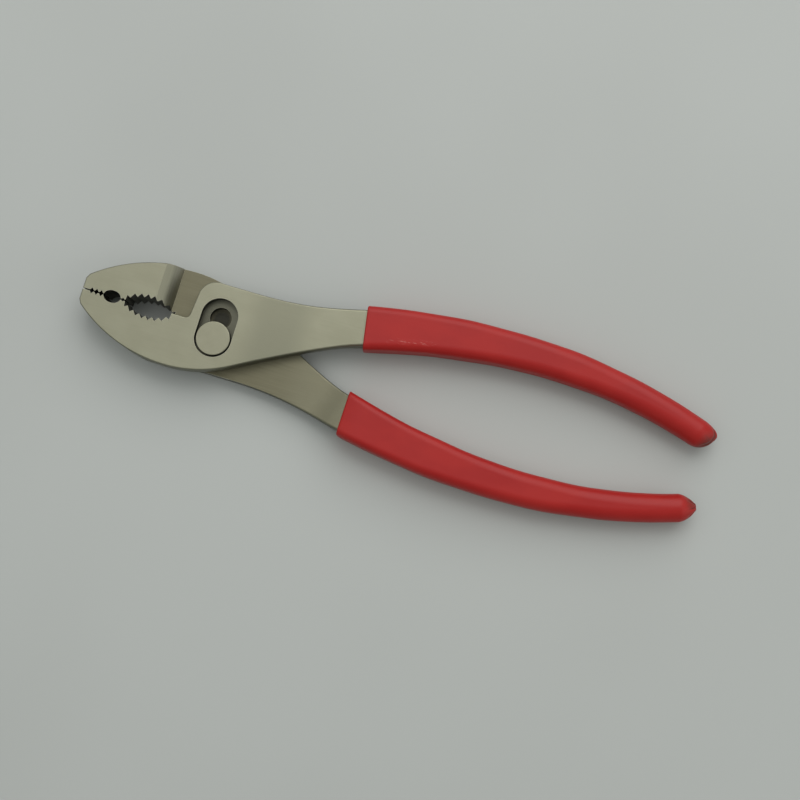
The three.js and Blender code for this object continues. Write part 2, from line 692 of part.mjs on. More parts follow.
const frontHalf = halfOfTool(
  named('front_lever', frontLever(), GROUND_TITANIUM),
  named('upper_grip', sleeve(UPPER_CUFF, UPPER_TIP), RED_VINYL),
  false,
);
const rearHalf = halfOfTool(
  named('rear_lever', rearLever(), GROUND_TITANIUM),
  named('lower_grip', sleeve(LOWER_CUFF, LOWER_TIP), RED_VINYL),
  true,
);
const pivot = new THREE.Group();
pivot.add(named('pivot_bolt', pivotBolt(), TURNED_TITANIUM));
pivot.add(named('pivot_nut', pivotNut(), TURNED_TITANIUM));

const pliers = new THREE.Group();
pliers.add(frontHalf, rearHalf, pivot);

export default pliers;
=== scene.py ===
"""Slip-joint pliers: satin titanium levers, a flush pivot bolt and dipped vinyl sleeves.

Lengths are in millimetres until a mesh is made, in the tool's own frame: X runs from the pivot
towards the handle ends, Y from the lower jaw towards the upper jaw, Z out of the front face.
"""

import logging
import math
from dataclasses import dataclass, field
from enum import Enum

import bmesh
import bpy
import numpy as np
from mathutils import Matrix, Vector


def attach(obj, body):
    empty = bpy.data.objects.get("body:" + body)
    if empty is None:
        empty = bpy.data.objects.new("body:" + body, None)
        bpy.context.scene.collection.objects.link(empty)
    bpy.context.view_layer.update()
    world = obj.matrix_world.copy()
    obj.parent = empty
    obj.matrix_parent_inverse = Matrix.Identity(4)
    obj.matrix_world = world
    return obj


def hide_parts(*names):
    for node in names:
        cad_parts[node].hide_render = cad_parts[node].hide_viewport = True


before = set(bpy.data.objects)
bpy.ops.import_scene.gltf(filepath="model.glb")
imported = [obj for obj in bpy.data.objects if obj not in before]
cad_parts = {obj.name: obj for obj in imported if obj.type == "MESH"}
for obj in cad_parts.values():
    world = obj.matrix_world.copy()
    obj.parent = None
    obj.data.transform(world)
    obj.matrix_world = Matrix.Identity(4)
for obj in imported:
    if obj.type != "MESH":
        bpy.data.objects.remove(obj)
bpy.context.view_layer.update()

MM = 0.001
CENTRE_LINE = 3.45
MID_PLANE = 5.5

Colour = tuple[float, float, float]
Waves = tuple[float, float, float]
Span = tuple[float, float]
Socket = bpy.types.NodeSocket

log = logging.getLogger("pliers")


class Body(Enum):
    """The rigid bodies that pieces ride on."""

    FRONT = "front_half"
    PIVOT = "pivot"
    REAR = "rear_half"


class Slot(Enum):
    """Names of the material slots."""

    GROUND = "ground_titanium"
    TURNED = "turned_titanium"
    VINYL = "red_vinyl"


class Side(Enum):
    """Which way a handle is bowed: the rear half is the front half turned over."""

    UPPER = 1
    LOWER = -1


# Curves and grids


def ease(value: np.ndarray, start: float, end: float) -> np.ndarray:
    """Rise smoothly from 0 at start to 1 at end: 3t squared less 2t cubed.

    Args:
        value: Where to read the curve.
        start: Value at which the rise starts.
        end: Value at which it is complete.

    Returns:
        The risen share at each value.
    """
    share = np.clip((value - start) / (end - start), 0.0, 1.0)
    return share * share * (3.0 - 2.0 * share)


def add_object(name: str, data: bpy.types.ID) -> bpy.types.Object:
    """Put a new object into the scene, at the origin.

    Args:
        name: Name of the object.
        data: Its mesh, light or camera.

    Returns:
        The new object.
    """
    made = bpy.data.objects.new(name, data)
    bpy.context.scene.collection.objects.link(made)
    return made


def grid_piece(name: str, rings: np.ndarray, poles: np.ndarray | None = None) -> bpy.types.Object:
    """Make a closed piece of a grid of rings and put it into the scene, with its faces outwards.

    With poles, a fan of triangles closes each end, and the poles are numbered after the rings.
    Without them the last ring joins the first, as in a nut with its bore.

    Args:
        name: Name of the piece.
        rings: Points in millimetres, as rows by columns by 3.
        poles: The first and the last pole, as 2 by 3.

    Returns:
        The new object, at the origin.
    """
    rows, columns, _ = rings.shape
    around = np.arange(columns)
    after = (around + 1) % columns
    here = np.arange(rows)[:, None] * columns
    there = np.roll(here, -1, axis=0)
    quads = np.stack([here + around, here + after, there + after, there + around], axis=-1)
    faces = quads.reshape(-1, 4).tolist()
    points = rings.reshape(-1, 3)
    if poles is not None:
        first_pole = np.full(columns, rows * columns)
        start_fan = np.stack([first_pole, after, around], axis=-1)
        end_fan = np.stack([first_pole + 1, here[-1] + around, here[-1] + after], axis=-1)
        faces = faces[:-columns] + start_fan.tolist() + end_fan.tolist()
        points = np.concatenate([points, poles])
    mesh = bpy.data.meshes.new(name)
    mesh.from_pydata((points * MM).tolist(), [], faces)
    work = bmesh.new()
    work.from_mesh(mesh)
    if work.calc_volume(signed=True) < 0.0:
        bmesh.ops.reverse_faces(work, faces=work.faces)
    work.to_mesh(mesh)
    work.free()
    return add_object(name, mesh)


def shade_by_angle(piece: bpy.types.Object, angle: float) -> None:
    """Shade a piece smooth, with its edges above an angle kept sharp.

    Args:
        piece: The piece to shade.
        angle: Angle between faces, in degrees.
    """
    mesh = piece.data
    mesh.shade_smooth()
    mesh.set_sharp_from_angle(angle=math.radians(angle))
    flat_first = piece.modifiers.new("even_normals", "WEIGHTED_NORMAL")
    flat_first.mode = "FACE_AREA"
    flat_first.keep_sharp = True


def read_values(items: bpy.types.bpy_prop_collection, name: str, width: int,
                kind: type = float) -> np.ndarray:
    """Read one value of every face, corner or point of a mesh.

    Args:
        items: The mesh's faces, corners or points.
        name: Name of the value.
        width: Numbers in each value.
        kind: Type of the numbers.

    Returns:
        The values, as items by width.
    """
    values = np.empty(len(items) * width, dtype=kind)
    items.foreach_get(name, values)
    return values.reshape(-1, width)


def write_marks(mesh: bpy.types.Mesh, name: str, domain: str, amounts: np.ndarray) -> None:
    """Write an amount for each corner or point of a mesh, for its finish to read.

    Args:
        mesh: The mesh.
        name: Name of the attribute.
        domain: What the amounts are for, CORNER or POINT.
        amounts: The amounts, from 0 to 1.
    """
    marks = mesh.attributes.new(name, "FLOAT", domain)
    marks.data.foreach_set("value", amounts.astype(np.float32))


# Finishes


@dataclass(frozen=True)
class Noise:
    """A noise: its waves in a metre along X, Y and Z, its octaves, and how much each one adds."""

    waves: Waves
    detail: float = 3.0
    roughness: float = 0.5


class Shader:
    """A material's node tree, with short calls that add and join its nodes."""

    EDGE_SAMPLES = 6
    EDGE_SPAN: Span = (0.995, 0.8)

    def __init__(self, name: str) -> None:
        """Start a material with one surface shader.

        Args:
            name: Name of the material.
        """
        self.material = bpy.data.materials.new(name)
        self.material.use_nodes = True
        self.tree = self.material.node_tree
        self.tree.nodes.clear()
        self.surface = self.add("BsdfPrincipled", {})
        self.add("OutputMaterial", {"Surface": self.surface.outputs["BSDF"]})
        self.place = self.add("TexCoord", {}).outputs["Object"]

    def feed(self, target: Socket, value: "Socket | float | Colour") -> None:
        """Join a socket to another, or set its number or colour.

        Args:
            target: Input socket.
            value: An output socket, a number or a colour.
        """
        if isinstance(value, bpy.types.NodeSocket):
            self.tree.links.new(value, target)
        elif isinstance(value, tuple):
            target.default_value = (*value, 1.0)
        else:
            target.default_value = value

    def add(self, kind: str, inputs: dict[str, "Socket | float"]) -> bpy.types.Node:
        """Add a node and feed its inputs.

        Args:
            kind: Kind of node.
            inputs: What to join or set, by the names of the inputs.

        Returns:
            The node.
        """
        node = self.tree.nodes.new(f"ShaderNode{kind}")
        for name, value in inputs.items():
            self.feed(node.inputs[name], value)
        return node

    def wear(self, name: str, value: "Socket | float | Colour") -> None:
        """Join or set one of the surface shader's own sockets."""
        self.feed(self.surface.inputs[name], value)

    def noise(self, noise: Noise) -> Socket:
        """Read a noise that is stretched differently along each axis.

        Args:
            noise: The noise to read.

        Returns:
            The noise, about 0.5 with a spread of about 0.2.
        """
        mapping = self.add("Mapping", {"Vector": self.place})
        mapping.inputs["Scale"].default_value = noise.waves
        texture = self.add("TexNoise", {"Vector": mapping.outputs["Vector"], "Scale": 1.0,
                                        "Detail": noise.detail, "Roughness": noise.roughness})
        return texture.outputs["Fac"]

    def math(self, operation: str, *values: "Socket | float") -> Socket:
        """Work out one step of arithmetic.

        Args:
            operation: Name of the operation.
            values: Its one to three operands.

        Returns:
            The result.
        """
        node = self.add("Math", {})
        node.operation = operation
        for target, value in zip(node.inputs, values):
            self.feed(target, value)
        return node.outputs["Value"]

    def times(self, first: Socket, second: "Socket | float") -> Socket:
        """Multiply two values."""
        return self.math("MULTIPLY", first, second)

    def weigh(self, first: Socket, second: Socket, share: float) -> Socket:
        """Add two values up, with a share of the second and the rest of the first."""
        return self.math("ADD", self.times(first, 1.0 - share), self.times(second, share))

    def distance(self, across: Socket, along: Socket) -> Socket:
        """Measure the straight way that has these two legs."""
        return self.math("SQRT", self.math("MULTIPLY_ADD", across, across, self.times(along, along)))

    def spread(self, value: Socket, low: float, high: float,
               start: float = 0.0, end: float = 1.0) -> Socket:
        """Map a value from one span onto another, clamped, with a smooth rise.

        Args:
            value: The value to map.
            low: Value that becomes start.
            high: Value that becomes end.
            start: Result at low.
            end: Result at high.

        Returns:
            The mapped value.
        """
        node = self.add("MapRange", {"Value": value, "From Min": low, "From Max": high,
                                     "To Min": start, "To Max": end})
        node.interpolation_type = "SMOOTHSTEP"
        return node.outputs["Result"]

    def mix(self, share: "Socket | float", first: "Socket | Colour",
            second: "Socket | Colour") -> Socket:
        """Mix two colours.

        Args:
            share: Share of the second colour.
            first: Colour at share 0.
            second: Colour at share 1.

        Returns:
            The mixed colour.
        """
        node = self.add("Mix", {"Factor": share})
        node.data_type = "RGBA"
        colours = [socket for socket in node.inputs if socket.type == "RGBA"]
        self.feed(colours[0], first)
        self.feed(colours[1], second)
        return next(socket for socket in node.outputs if socket.type == "RGBA")

    def axes(self) -> tuple[Socket, Socket, Socket]:
        """Split the place on the piece into its X, Y and Z, in metres."""
        node = self.add("SeparateXYZ", {"Vector": self.place})
        return node.outputs["X"], node.outputs["Y"], node.outputs["Z"]

    def attribute(self, name: str) -> Socket:
        """Read one of the mesh's own attributes.

        Args:
            name: Name of the attribute.

        Returns:
            The attribute, as a number.
        """
        node = self.add("Attribute", {})
        node.attribute_name = name
        return node.outputs["Fac"]

    def edge(self, radius: float) -> Socket:
        """Find outer edges, where a rounded normal leaves the face's own.

        Args:
            radius: Width of the edge in metres.

        Returns:
            0 on faces, rising towards 1 along edges.
        """
        rounded = self.add("Bevel", {"Radius": radius})
        rounded.samples = self.EDGE_SAMPLES
        own = self.add("NewGeometry", {})
        along = self.add("VectorMath", {})
        along.operation = "DOT_PRODUCT"
        self.feed(along.inputs[0], rounded.outputs["Normal"])
        self.feed(along.inputs[1], own.outputs["Normal"])
        return self.spread(along.outputs["Value"], *self.EDGE_SPAN)

    def relief(self, height: Socket, depth: float, strength: float) -> None:
        """Bump the surface by a share of a depth in metres, at a strength from 0 to 1."""
        bump = self.add("Bump", {"Height": height, "Distance": depth, "Strength": strength})
        self.wear("Normal", bump.outputs["Normal"])


@dataclass(frozen=True)
class GroundTitanium:
    """Forged titanium, ground along its length to a satin, with painted shade on the lap faces,
    recesses, sides and sloping tang, a painted light on the shoulder, and edges lightened by wear and a
    painted highlight.
    """

    light: Colour = (0.262, 0.257, 0.188)
    dark: Colour = (0.236, 0.230, 0.166)
    # Painted shade for the lap faces, which lie low beside the other lever.
    lap: Colour = (0.158, 0.147, 0.098)
    # A painted light for the jaw's sloping shoulder.
    shoulder: Colour = (0.47, 0.46, 0.38)
    # A dark for painted shade in the recesses, round the bolt's hole and on the sides.
    painted_shade: Colour = (0.028, 0.028, 0.024)
    # Edges are lightened, partly by wear and partly as a painted highlight.
    edge: Colour = (0.40, 0.39, 0.31)
    # A painted shade for the stretch where the tang slopes down behind the pivot.
    tang_slope_shade: Colour = (0.205, 0.202, 0.148)
    grain: Noise = Noise((70.0, 3600.0, 3600.0), detail=4.0, roughness=0.6)
    blotch: Noise = Noise((110.0, 150.0, 150.0))
    blotch_share: float = 0.55
    tone_span: Span = (0.36, 0.64)
    # Where the painted shade on the tang's slope lies, and how strong it is.
    tang_slope_reach: float = 18.0
    tang_slope_half: float = 12.0
    tang_slope_core: float = 3.6
    tang_slope_shade_share: float = 0.85
    # Where the painted shade round the bolt's hole lies, and how strong it is.
    hole_rise: float = 6.9
    hole_radius: float = 4.2
    hole_core: float = 1.89
    hole_shade: float = 0.92
    edge_width: float = 0.22
    streak_span: Span = (0.3, 0.7)
    roughness: Span = (0.31, 0.43)
    blotch_roughness: float = 0.08
    lap_roughness: float = 0.10
    grain_depth: float = 0.012
    grain_strength: float = 0.5

    def material(self) -> bpy.types.Material:
        """Make the material: grain along X, blotches, painted shade on the tang's slope, painted shade
        and light on the marked faces, and edges lightened by wear and a painted highlight.

        Returns:
            The material.
        """
        shader = Shader("ground_titanium")
        grain = shader.noise(self.grain)
        blotch = shader.noise(self.blotch)
        lap = shader.attribute("lap_face")
        across, along, _ = shader.axes()
        tone = shader.weigh(grain, blotch, self.blotch_share)
        ground = shader.mix(shader.spread(tone, *self.tone_span), self.dark, self.light)
        # Painted shade on the stretch where the tang slopes down behind the pivot.
        off_tang_slope = shader.math("ABSOLUTE", shader.math("SUBTRACT", across, self.tang_slope_reach * MM))
        tang_slope_shade = shader.spread(off_tang_slope, self.tang_slope_half * MM, self.tang_slope_core * MM, 0.0, self.tang_slope_shade_share)
        tang_slope_shaded = shader.mix(tang_slope_shade, ground, self.tang_slope_shade)
        # Painted light on the jaw's shoulder.
        shoulder_lit = shader.mix(shader.attribute("shoulder"), tang_slope_shaded, self.shoulder)
        # Painted shade on the lap faces.
        lapped = shader.mix(lap, shoulder_lit, self.lap)
        # Painted shade on the lap faces round the bolt's hole.
        off_hole = shader.distance(across, shader.math("SUBTRACT", along, self.hole_rise * MM))
        hole = shader.spread(off_hole, self.hole_radius * MM, self.hole_core * MM, 0.0, self.hole_shade)
        # Painted shade from the marked faces and from round the bolt's hole.
        painted_shade = shader.math("MAXIMUM", shader.attribute("painted_shade"), shader.times(lap, hole))
        faced = shader.mix(painted_shade, lapped, self.painted_shade)
        # Edges lightened by wear and a painted highlight, none where painted shade lies.
        edge_wear_and_highlight = shader.times(shader.edge(self.edge_width * MM), shader.math("SUBTRACT", 1.0, painted_shade))
        shader.wear("Base Color", shader.mix(edge_wear_and_highlight, faced, self.edge))
        shader.wear("Metallic", 1.0)
        streak = shader.spread(grain, *self.streak_span, *self.roughness)
        cloudy = shader.math("MULTIPLY_ADD", blotch, self.blotch_roughness, streak)
        shader.wear("Roughness", shader.math("MULTIPLY_ADD", lap, self.lap_roughness, cloudy))
        shader.relief(grain, self.grain_depth * MM, self.grain_strength)
        return shader.material


@dataclass(frozen=True)
class TurnedTitanium:
    """Titanium faced in a lathe, with fine rings about the pivot's axis."""

    light: Colour = (0.262, 0.255, 0.187)
    dark: Colour = (0.232, 0.225, 0.162)
    # Edges are lightened, partly by wear and partly as a painted highlight.
    edge: Colour = (0.42, 0.41, 0.33)
    # A dark for painted shade on the bolt and nut between their end faces.
    painted_shade: Colour = (0.030, 0.030, 0.025)
    blotch: Noise = Noise((260.0, 260.0, 260.0))
    blotch_share: float = 0.65
    tone_span: Span = (0.3, 0.7)
    ring_pitch: float = 0.16
    ring_waver: float = 3.0
    ring_depth: float = 0.006
    ring_strength: float = 0.4
    edge_width: float = 0.18
    # Heights between which the bolt and nut get painted shade, and how much.
    unshaded_above: float = 10.88
    unshaded_below: float = 0.4
    unshaded_fade: float = 0.2
    shade_share: float = 0.9
    roughness: Span = (0.31, 0.40)

    def material(self) -> bpy.types.Material:
        """Make the material: rings by distance from the axis, and painted shade between the two end
        faces.

        Returns:
            The material.
        """
        shader = Shader("turned_titanium")
        across, along, height = shader.axes()
        blotch = shader.noise(self.blotch)
        waver = shader.times(blotch, self.ring_waver)
        turns_in_metre = 2.0 * math.pi / (self.ring_pitch * MM)
        turns = shader.math("MULTIPLY_ADD", shader.distance(across, along), turns_in_metre, waver)
        rings = shader.math("MULTIPLY_ADD", shader.math("SINE", turns), 0.5, 0.5)
        tone = shader.weigh(rings, blotch, self.blotch_share)
        faced = shader.mix(shader.spread(tone, *self.tone_span), self.dark, self.light)
        # Painted shade everywhere between the top face and the faces at the bottom.
        over = shader.spread(height, (self.unshaded_above - self.unshaded_fade) * MM, self.unshaded_above * MM)
        under = shader.spread(height, (self.unshaded_below + self.unshaded_fade) * MM, self.unshaded_below * MM)
        unshaded = shader.times(shader.math("MAXIMUM", over, under), self.shade_share)
        inside = shader.math("SUBTRACT", self.shade_share, unshaded)
        # Edges lightened by wear and a painted highlight.
        worn = shader.mix(shader.edge(self.edge_width * MM), faced, self.edge)
        shader.wear("Base Color", shader.mix(inside, worn, self.painted_shade))
        shader.wear("Metallic", 1.0)
        shader.wear("Roughness", shader.spread(rings, 0.0, 1.0, *self.roughness))
        shader.relief(rings, self.ring_depth * MM, self.ring_strength)
        return shader.material


@dataclass(frozen=True)
class DippedVinyl:
    """Red vinyl that a handle was dipped in: soft gloss, faint clouds and a fine orange peel."""

    light: Colour = (0.365, 0.013, 0.010)
    deep: Colour = (0.330, 0.009, 0.0075)
    scuff: Colour = (0.50, 0.17, 0.15)
    # A dark brown for soil on the tips, also used as painted shade on their inner side, creases and
    # groove.
    soil_and_shade: Colour = (0.075, 0.024, 0.016)
    clouds: Noise = Noise((60.0, 110.0, 110.0), detail=4.0)
    peel: Noise = Noise((1500.0, 1500.0, 1500.0), detail=2.0)
    specks: Noise = Noise((420.0, 2600.0, 2600.0), roughness=0.65)
    cloud_span: Span = (0.35, 0.65)
    scuff_span: Span = (0.52, 0.66)
    # How the specks mottle the soil and painted shade.
    soil_and_shade_span: Span = (0.35, 0.6)
    soil_and_shade_share: Span = (0.65, 1.0)
    gloss: float = 0.29
    gloss_span: Span = (0.3, 0.7)
    roughness: Span = (0.38, 0.47)
    scuff_roughness: float = 0.25
    peel_depth: float = 0.02
    peel_strength: float = 0.35

    def material(self) -> bpy.types.Material:
        """Make the material: clouds, orange peel, and scuffs, soil and painted shade where the mesh says
        so.

        Returns:
            The material.
        """
        shader = Shader("red_vinyl")
        clouds = shader.noise(self.clouds)
        specks = shader.noise(self.specks)
        body = shader.mix(shader.spread(clouds, *self.cloud_span), self.deep, self.light)
        scuffed = shader.times(shader.attribute("scuff"), shader.spread(specks, *self.scuff_span))
        # Soil and painted shade, mottled by the specks, where the mesh marks them.
        soil_and_shade = shader.spread(specks, *self.soil_and_shade_span, *self.soil_and_shade_share)
        worn = shader.mix(scuffed, body, self.scuff)
        soiled_and_shaded = shader.mix(shader.times(shader.attribute("soil_and_shade"), soil_and_shade), worn, self.soil_and_shade)
        shader.wear("Base Color", soiled_and_shaded)
        satin = shader.spread(clouds, *self.gloss_span, *self.roughness)
        shader.wear("Roughness", shader.math("MULTIPLY_ADD", scuffed, self.scuff_roughness, satin))
        shader.wear("Specular IOR Level", self.gloss)
        shader.relief(shader.noise(self.peel), self.peel_depth * MM, self.peel_strength)
        return shader.material


@dataclass(frozen=True)
class PaleSheet:
    """The pale grey sheet that the tool lies on."""

    light: Colour = (0.425, 0.440, 0.420)
    dark: Colour = (0.405, 0.418, 0.398)
    clouds: Noise = Noise((6.0, 6.0, 6.0), detail=2.0)
    cloud_span: Span = (0.35, 0.65)
    roughness: float = 0.6

    def material(self) -> bpy.types.Material:
        """Make the material: two close greys in wide soft clouds.

        Returns:
            The material.
        """
        shader = Shader("pale_sheet")
        clouds = shader.spread(shader.noise(self.clouds), *self.cloud_span)
        shader.wear("Base Color", shader.mix(clouds, self.dark, self.light))
        shader.wear("Roughness", self.roughness)
        return shader.material


# Sub-assemblies


@dataclass
class Piece:
    """What every sub-assembly has: the solid that it stands for, a body, a finish and a model."""

    node: str
    body: Body
    finish: bpy.types.Material
    model: bpy.types.Object = field(init=False)

    def settle(self, slot: Slot) -> None:
        """Give the model its body, and hide the solid that it replaces.

        Args:
            slot: Material slot; not used.
        """
        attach(self.model, self.body.value)
        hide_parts(self.node)
        faces = len(self.model.data.polygons)
        log.info("%s: %d faces, rides on %s", self.model.name, faces, self.body.value)

    def dress(self) -> None:
        """Give the model its finish, in place of any that came with the solid."""
        self.model.data.materials.clear()
        self.model.data.materials.append(self.finish)


@dataclass
class Lever(Piece):
    """One forged lever: jaw, half-lap plate and tang, from its solid with its edges kept crisp."""

    side: Side
    # How much painted shade the lever's sides get.
    side_shade: float
    shade_angle: float = 32.0
    merge_gap: float = 0.002
    least_edge: float = 0.001
    flat_angle: float = 0.4
    lap_square: float = 0.75
    lap_reach: float = 0.6
    lap_start: float = -15.9
    # How far along the tang the lap faces' painted shade fades, and by how much.
    lap_shade_fade_span: Span = (16.0, 34.0)
    lap_shade_fade: float = 0.3
    tang_start: float = 9.0
    side_span: Span = (0.4, 0.92)
    shoulder_square: float = 0.4
    shoulder_foot: float = -14.2
    # How the shoulder's painted light fades as it lies flatter.
    slope_span: Span = (0.4, 0.78)
    slope_fade: float = 0.92
    upright_below: float = 0.5
    face_skin: float = 0.05
    seat_reach: float = 5.9
    seat_half: float = 9.4
    bite_start: float = -15.7
    bite_end: float = -41.5
    bite_half: float = 4.1
    # Painted shade on the seat's floor and walls and on the walls of the jaws' openings.
    floor_shade: float = 0.68
    wall_shade: float = 0.93
    bite_shade: float = 0.7

    def build(self) -> None:
        """Copy the solid, merge its loose corners and flat faces, mark it and shade it."""
        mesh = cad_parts[self.node].data.copy()
        mesh.name = f"{self.node}_ground"
        work = bmesh.new()
        work.from_mesh(mesh)
        bmesh.ops.remove_doubles(work, verts=work.verts, dist=self.merge_gap * MM)
        bmesh.ops.dissolve_degenerate(work, edges=work.edges, dist=self.least_edge * MM)
        limit = math.radians(self.flat_angle)
        bmesh.ops.dissolve_limit(work, angle_limit=limit, verts=work.verts, edges=work.edges)
        work.to_mesh(mesh)
        work.free()
        given = mesh.attributes.get("custom_normal")
        if given:
            mesh.attributes.remove(given)
        self.mark_faces(mesh)
        self.model = add_object(mesh.name, mesh)
        shade_by_angle(self.model, self.shade_angle)
        self.settle(Slot.GROUND)

    def mark_faces(self, mesh: bpy.types.Mesh) -> None:
        """Mark the corners of the lap faces, the shoulder and the faces that get painted shade.

        A lap face lies behind the jaw and points across the lap towards the other lever; it gets
        painted shade, which fades along the tang. The shoulder is the jaw's slope towards the pivot,
        and it gets a painted light, which fades where it lies flatter.

        Args:
            mesh: The merged mesh, in metres.
        """
        place = read_values(mesh.polygons, "center", 3) / MM
        normal = read_values(mesh.polygons, "normal", 3)
        corners = read_values(mesh.polygons, "loop_total", 1, np.int32)[:, 0]
        owners = read_values(mesh.loops, "vertex_index", 1, np.int32)[:, 0]
        reach = read_values(mesh.vertices, "co", 3)[owners, 0] / MM
        facing = np.abs(normal[:, 2])
        near = self.side.value * (place[:, 2] - MID_PLANE) < self.lap_reach
        towards = -self.side.value * normal[:, 2] > self.lap_square
        lap = near & towards & (place[:, 0] > self.lap_start)
        # The lap faces' painted shade fades along the tang.
        lap_shade_left = 1.0 - self.lap_shade_fade * ease(reach, *self.lap_shade_fade_span)
        shoulder = (normal[:, 0] > self.shoulder_square) & (place[:, 0] < self.shoulder_foot)
        # Painted light on the shoulder, less where it lies flatter.
        shoulder_light = shoulder * (1.0 - self.slope_fade * ease(facing, *self.slope_span))
        # Painted shade in the recesses and on the sides.
        painted_shade = self.painted_shade_amounts(place, facing, lap, shoulder)
        write_marks(mesh, "lap_face", "CORNER", np.repeat(lap, corners) * lap_shade_left)
        write_marks(mesh, "shoulder", "CORNER", np.repeat(shoulder_light, corners))
        write_marks(mesh, "painted_shade", "CORNER", np.repeat(painted_shade, corners))

    def painted_shade_amounts(self, place: np.ndarray, facing: np.ndarray, lap: np.ndarray,
                      shoulder: np.ndarray) -> np.ndarray:
        """Say how much painted shade is on each face.

        It is painted on everything below the outer face within a box round the slot and on the walls
        of the jaws' openings, and the sides get some too.

        Args:
            place: Middle of each face.
            facing: How squarely each face lies across the pivot's axis, from 0 to 1.
            lap: Whether each face is a lap face.
            shoulder: Whether each face is on the jaw's sloping shoulder.

        Returns:
            Amounts from 0 to 1.
        """
        x, y, z = place.T
        upright = facing < self.upright_below
        below = np.abs(z - MID_PLANE) < MID_PLANE - self.face_skin
        off_line = np.abs(y - CENTRE_LINE)
        seat = (np.abs(x) < self.seat_reach) & (off_line < self.seat_half)
        bite = (x < self.bite_start) & (x > self.bite_end) & (off_line < self.bite_half)
        on_tang = 1.0 - ease(facing, *self.side_span)
        sides = np.where(x > self.tang_start, on_tang, upright & ~shoulder)
        settled = np.where(upright, self.wall_shade, self.floor_shade) * (seat & below & ~lap)
        bitten = self.bite_shade * (bite & upright & below)
        return np.maximum.reduce([settled, bitten, self.side_shade * sides])


@dataclass
class PivotBolt(Piece):
    """Flush bolt: a faced head, a shank with two flats and a threaded tail."""

    height: float = 11.0
    head_radius: float = 5.3
    head_thickness: float = 2.7
    shank_radius: float = 3.25
    flat_half: float = 2.4
    flat_step: float = 0.01
    tail_radius: float = 2.5
    tail_length: float = 2.7
    edge_round: float = 0.28
    round_rows: int = 7
    thread_pitch: float = 0.8
    thread_depth: float = 0.28
    thread_runout: float = 0.1
    thread_rows: int = 28
    end_rings: Span = (0.9, 1.6)
    rim_step: float = 0.05
    face_rings: tuple[float, ...] = (0.72, 0.4, 0.1)
    columns: int = 144
    shade_angle: float = 34.0

    @property
    def under_head(self) -> float:
        """Height of the head's underside."""
        return self.height - self.head_thickness

    def profile(self) -> tuple[np.ndarray, np.ndarray]:
        """Draw the turned outline from the tail's end to the middle of the head.

        Returns:
            Radius and height of each ring.
        """
        under, half_round = self.under_head, self.edge_round / 2
        rim, top = self.head_radius - self.edge_round, self.height - self.edge_round
        quarter = np.linspace(0.0, math.pi / 2, self.round_rows)
        thread_end = self.tail_length - self.thread_runout
        thread = np.linspace(self.edge_round, thread_end, self.thread_rows)
        shank = [self.tail_length, MID_PLANE - self.flat_step, MID_PLANE + self.flat_step,
                 under - 2.0 * self.flat_step, under]
        rows = [(radius, 0.0) for radius in (*self.end_rings, self.tail_radius - self.edge_round)]
        rows += [(self.tail_radius, level) for level in (*thread, self.tail_length)]
        rows += [(self.shank_radius, level) for level in shank]
        rows += [(self.head_radius - half_round, under), (self.head_radius, under + half_round)]
        rows += zip(rim + self.edge_round * np.cos(quarter), top + self.edge_round * np.sin(quarter))
        face = [rim - self.rim_step, *(share * rim for share in self.face_rings)]
        rows += [(radius, self.height) for radius in face]
        radius, level = np.array(rows).T
        return radius, level

    def build(self) -> None:
        """Turn the outline about the pivot's axis, cut the thread and flatten the shank.

        A ring is (r cos a, r sin a, z). The thread is a sine along z that advances one pitch in
        each turn, and the flats are the shank's x held within the half width across them.
        """
        radius, level = self.profile()
        angle = np.linspace(0.0, 2.0 * math.pi, self.columns, endpoint=False)
        in_thread = (level > self.edge_round) & (level < self.tail_length)
        phase = 2.0 * math.pi * (level[:, None] / self.thread_pitch) - angle[None, :]
        cut = np.where(in_thread, self.thread_depth, 0.0)[:, None] * (0.5 - 0.5 * np.cos(phase))
        turned = radius[:, None] - cut
        x = turned * np.cos(angle)
        y = turned * np.sin(angle)
        on_shank = (level > MID_PLANE) & (level <= self.under_head) & (radius <= self.shank_radius)
        x = np.where(on_shank[:, None], np.clip(x, -self.flat_half, self.flat_half), x)
        z = np.broadcast_to(level[:, None], x.shape)
        poles = np.array([[0.0, 0.0, 0.0], [0.0, 0.0, self.height]])
        self.model = grid_piece("pivot_bolt_turned", np.stack([x, y, z], axis=-1), poles)
        shade_by_angle(self.model, self.shade_angle)
        self.settle(Slot.TURNED)


